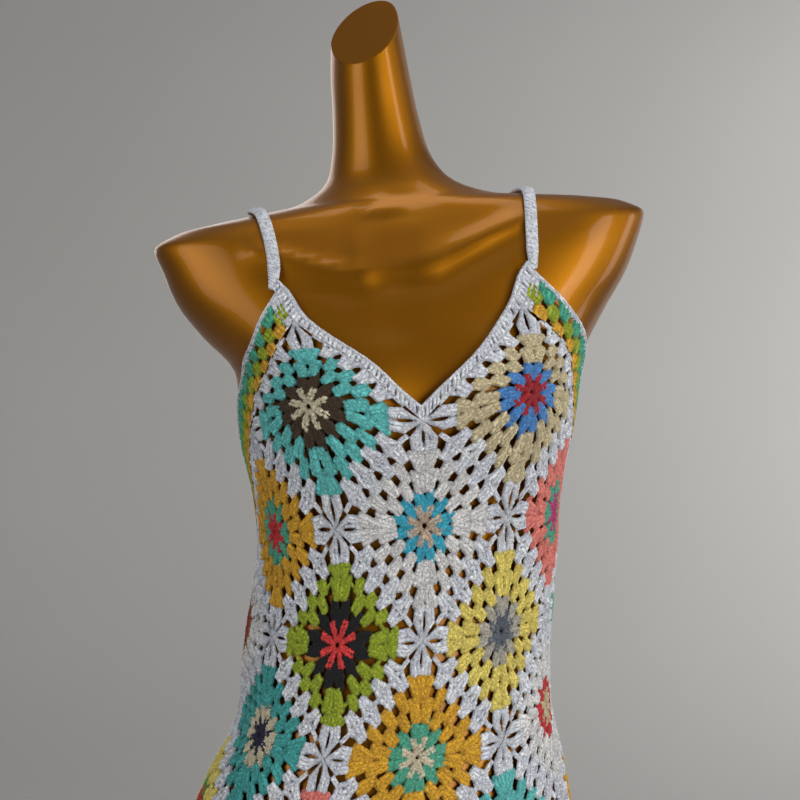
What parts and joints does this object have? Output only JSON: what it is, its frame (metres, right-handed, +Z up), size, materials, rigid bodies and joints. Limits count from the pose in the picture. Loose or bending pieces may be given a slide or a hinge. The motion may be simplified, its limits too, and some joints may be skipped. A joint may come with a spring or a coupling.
{
  "type": "crochet dress on a limbless dress form",
  "caption": "Sleeveless crochet mini dress of joined granny squares with V neck and thin straps, worn by a gold headless dress form on a pole and round base.",
  "frame": {"origin": "centre of the stand base's underside, on the floor, on the pole's axis", "axes": "+Z up along the pole, -Y to the front of the dress, +X to the viewer's right (the wearer's left)"},
  "size_m": [0.392, 0.34, 1.143],
  "materials": {
    "yarn_white": "matt cotton yarn, white",
    "yarn_ecru": "matt cotton yarn, ecru",
    "yarn_aqua": "matt cotton yarn, aqua",
    "yarn_beige": "matt cotton yarn, beige",
    "yarn_mint": "matt cotton yarn, mint",
    "yarn_gold": "matt cotton yarn, gold",
    "yarn_coral": "matt cotton yarn, coral",
    "yarn_lime": "matt cotton yarn, lime",
    "yarn_yellow": "matt cotton yarn, yellow",
    "yarn_red": "matt cotton yarn, red",
    "yarn_blue": "matt cotton yarn, blue",
    "yarn_teal": "matt cotton yarn, teal",
    "form_gold": "glossy gold lacquer on a moulded shell",
    "pole_steel": "satin steel tube",
    "base_black": "satin black paint"
  },
  "bodies": {
    "root": {"cup_front_right": "yarn_beige", "cup_back_right": "yarn_gold", "cup_back_left": "yarn_mint", "cup_front_left": "yarn_aqua", "square_row2_front": "yarn_ecru", "square_row2_right_front": "yarn_coral", "square_row2_right_back": "yarn_aqua", "square_row2_back": "yarn_lime", "square_row2_left_back": "yarn_blue", "square_row2_left_front": "yarn_gold", "square_row3_front_right": "yarn_yellow", "square_row3_right": "yarn_mint", "square_row3_back_right": "yarn_red", "square_row3_back_left": "yarn_beige", "square_row3_left": "yarn_ecru", "square_row3_front_left": "yarn_lime", "square_row4_front": "yarn_gold", "square_row4_right_front": "yarn_ecru", "square_row4_right_back": "yarn_coral", "square_row4_back": "yarn_aqua", "square_row4_left_back": "yarn_yellow", "square_row4_left_front": "yarn_teal", "square_row5_front_right": "yarn_aqua", "square_row5_right": "yarn_gold", "square_row5_back_right": "yarn_blue", "square_row5_back_left": "yarn_mint", "square_row5_left": "yarn_coral", "square_row5_front_left": "yarn_coral", "square_row6_front": "yarn_beige", "square_row6_right_front": "yarn_blue", "square_row6_right_back": "yarn_yellow", "square_row6_back": "yarn_red", "square_row6_left_back": "yarn_lime", "square_row6_left_front": "yarn_mint", "square_row7_front_right": "yarn_lime", "square_row7_right": "yarn_coral", "square_row7_back_right": "yarn_teal", "square_row7_back_left": "yarn_gold", "square_row7_left": "yarn_aqua", "square_row7_front_left": "yarn_red", "square_row8_front": "yarn_aqua", "square_row8_right_front": "yarn_yellow", "square_row8_right_back": "yarn_mint", "square_row8_back": "yarn_coral", "square_row8_left_back": "yarn_gold", "square_row8_left_front": "yarn_beige", "armhole_band_right": "yarn_teal", "armhole_band_left": "yarn_teal", "strap_right": "yarn_white", "strap_left": "yarn_white", "neckline_edging_front": "yarn_white", "neckline_edging_back": "yarn_white", "hem_edging_front": "yarn_white", "hem_edging_back": "yarn_white", "form_torso": "form_gold", "stand_pole": "pole_steel", "stand_base": "base_black"}
  },
  "joints": []
}
